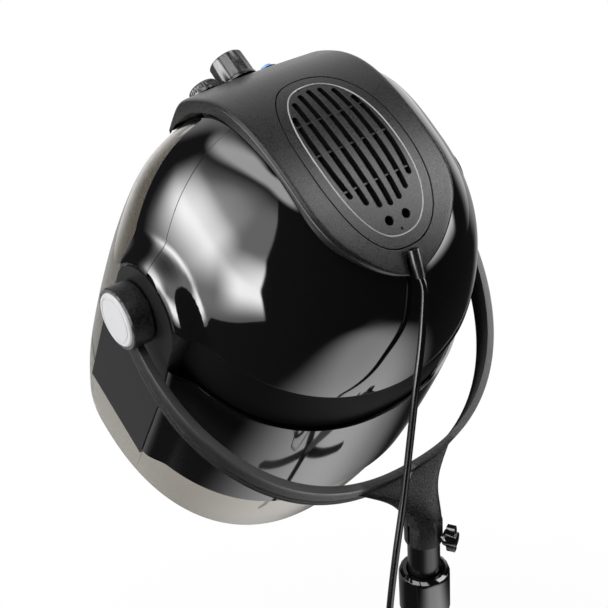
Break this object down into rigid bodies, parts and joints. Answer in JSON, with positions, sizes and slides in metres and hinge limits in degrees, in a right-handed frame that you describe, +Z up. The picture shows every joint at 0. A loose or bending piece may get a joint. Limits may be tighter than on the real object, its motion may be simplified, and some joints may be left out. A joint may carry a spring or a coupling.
{
  "type": "standing hood dryer",
  "caption": "Standing hood dryer: tilting glossy dome with clear visor, vented spine and dials on a fork, telescopic column and castor base, with mains cord.",
  "frame": {"origin": "centre of the bounding box without the cord, on the floor", "axes": "+Z up, -Y towards the hood's front, +X to the hood's own left"},
  "size_m": [0.6364, 0.6874, 1.3842],
  "materials": {
    "gloss_black": "polished",
    "satin_grey": "fine satin texture",
    "textured_black": "spark-eroded texture",
    "smoked_clear": "clear smoked",
    "white_cap": "gloss",
    "bright_steel": "plain",
    "black_steel": "black powder coat",
    "black_cast_alloy": "black powder coat",
    "grey_tyre": "matt",
    "blue_clear": "clear blue",
    "heatproof_black": "plain",
    "cable_black": "smooth"
  },
  "bodies": {
    "base": {"star_base": "black_cast_alloy", "column_tube": "black_steel", "column_collar": "gloss_black", "cord_lower": "cable_black", "cord_coil": "cable_black", "coil_tie": "heatproof_black", "mains_plug": "cable_black"},
    "post": {"post": "black_steel", "post_bush": "heatproof_black", "cord_middle": "cable_black"},
    "yoke": {"yoke": "textured_black", "pivot_cap_l": "white_cap", "pivot_cap_r": "white_cap", "pivot_bolt_l": "bright_steel", "pivot_bolt_r": "bright_steel", "pivot_washer_l": "textured_black", "pivot_washer_r": "textured_black", "cord_upper": "cable_black"},
    "clamp": {"clamp_knob": "textured_black"},
    "hood": {"hood_ring": "gloss_black", "hood_frame": "heatproof_black", "dome_shell": "gloss_black", "front_arch": "gloss_black", "spine_cover": "satin_grey", "vent_panel": "satin_grey", "visor": "smoked_clear", "rear_skirt": "smoked_clear", "cheek_l": "satin_grey", "cheek_r": "satin_grey", "heat_switch_body": "heatproof_black", "timer_switch_body": "heatproof_black", "switch_bezel": "heatproof_black", "cord_gland": "textured_black", "inner_bowl": "heatproof_black", "motor_plate": "bright_steel", "fan_motor": "bright_steel", "heating_ring": "bright_steel"},
    "heat_knob": {"heat_knob": "textured_black"},
    "timer_dial": {"timer_dial": "textured_black"},
    "power_rocker": {"power_rocker": "blue_clear"},
    "fan": {"fan_wheel": "heatproof_black"},
    "castor_1": {"castor_fork_1": "textured_black"},
    "wheel_1": {"castor_wheel_1": "grey_tyre"},
    "castor_2": {"castor_fork_2": "textured_black"},
    "wheel_2": {"castor_wheel_2": "grey_tyre"},
    "castor_3": {"castor_fork_3": "textured_black"},
    "wheel_3": {"castor_wheel_3": "grey_tyre"},
    "castor_4": {"castor_fork_4": "textured_black"},
    "wheel_4": {"castor_wheel_4": "grey_tyre"},
    "castor_5": {"castor_fork_5": "textured_black"},
    "wheel_5": {"castor_wheel_5": "grey_tyre"}
  },
  "joints": [
    {"name": "height_slide", "type": "slide", "parent": "base", "child": "post", "axis": [0, 0, 1], "range_m": [0, 0.28], "deforming": ["cord_lower"]},
    {"name": "yoke_swivel", "type": "hinge", "parent": "post", "child": "yoke", "pos_m": [0, 0.0714, 0.9575], "axis": [0, 0, 1], "range_deg": [-40, 40], "deforming": ["cord_middle"]},
    {"name": "hood_tilt", "type": "hinge", "parent": "yoke", "child": "hood", "pos_m": [0, -0.11104, 1.20932], "axis": [1, 0, 0], "range_deg": [-40, 15], "deforming": ["cord_upper"]},
    {"name": "clamp_turn", "type": "hinge", "parent": "yoke", "child": "clamp", "pos_m": [-0.0093, 0.08751, 0.965], "axis": [-0.5, 0.866, 0], "continuous": true},
    {"name": "heat_knob_turn", "type": "hinge", "parent": "hood", "child": "heat_knob", "pos_m": [0, -0.17473, 1.35146], "axis": [0, -0.8192, 0.5736], "range_deg": [-135, 135]},
    {"name": "timer_dial_turn", "type": "hinge", "parent": "hood", "child": "timer_dial", "pos_m": [0.037, -0.17473, 1.35146], "axis": [0, -0.8192, 0.5736], "range_deg": [0, 300]},
    {"name": "power_rocker_tilt", "type": "hinge", "parent": "hood", "child": "power_rocker", "pos_m": [-0.0314, -0.17391, 1.35088], "axis": [1, 0, 0], "range_deg": [-5, 5]},
    {"name": "fan_spin", "type": "hinge", "parent": "hood", "child": "fan", "pos_m": [0, -0.0259, 1.30511], "axis": [0, 0.5736, 0.8192], "continuous": true},
    {"name": "castor_1_swivel", "type": "hinge", "parent": "base", "child": "castor_1", "pos_m": [0, -0.2186, 0.068], "axis": [0, 0, 1], "continuous": true},
    {"name": "wheel_1_spin", "type": "hinge", "parent": "castor_1", "child": "wheel_1", "pos_m": [0, -0.2366, 0.025], "axis": [1, 0, 0], "continuous": true},
    {"name": "castor_2_swivel", "type": "hinge", "parent": "base", "child": "castor_2", "pos_m": [0.27581, -0.01821, 0.068], "axis": [0, 0, 1], "continuous": true},
    {"name": "wheel_2_spin", "type": "hinge", "parent": "castor_2", "child": "wheel_2", "pos_m": [0.29292, -0.02378, 0.025], "axis": [0.309, 0.9511, 0], "continuous": true},
    {"name": "castor_3_swivel", "type": "hinge", "parent": "base", "child": "castor_3", "pos_m": [0.17046, 0.30601, 0.068], "axis": [0, 0, 1], "continuous": true},
    {"name": "wheel_3_spin", "type": "hinge", "parent": "castor_3", "child": "wheel_3", "pos_m": [0.18104, 0.32058, 0.025], "axis": [-0.809, 0.5878, 0], "continuous": true},
    {"name": "castor_4_swivel", "type": "hinge", "parent": "base", "child": "castor_4", "pos_m": [-0.17046, 0.30601, 0.068], "axis": [0, 0, 1], "continuous": true},
    {"name": "wheel_4_spin", "type": "hinge", "parent": "castor_4", "child": "wheel_4", "pos_m": [-0.18104, 0.32058, 0.025], "axis": [-0.809, -0.5878, 0], "continuous": true},
    {"name": "castor_5_swivel", "type": "hinge", "parent": "base", "child": "castor_5", "pos_m": [-0.27581, -0.01821, 0.068], "axis": [0, 0, 1], "continuous": true},
    {"name": "wheel_5_spin", "type": "hinge", "parent": "castor_5", "child": "wheel_5", "pos_m": [-0.29292, -0.02378, 0.025], "axis": [0.309, -0.9511, 0], "continuous": true}
  ]
}
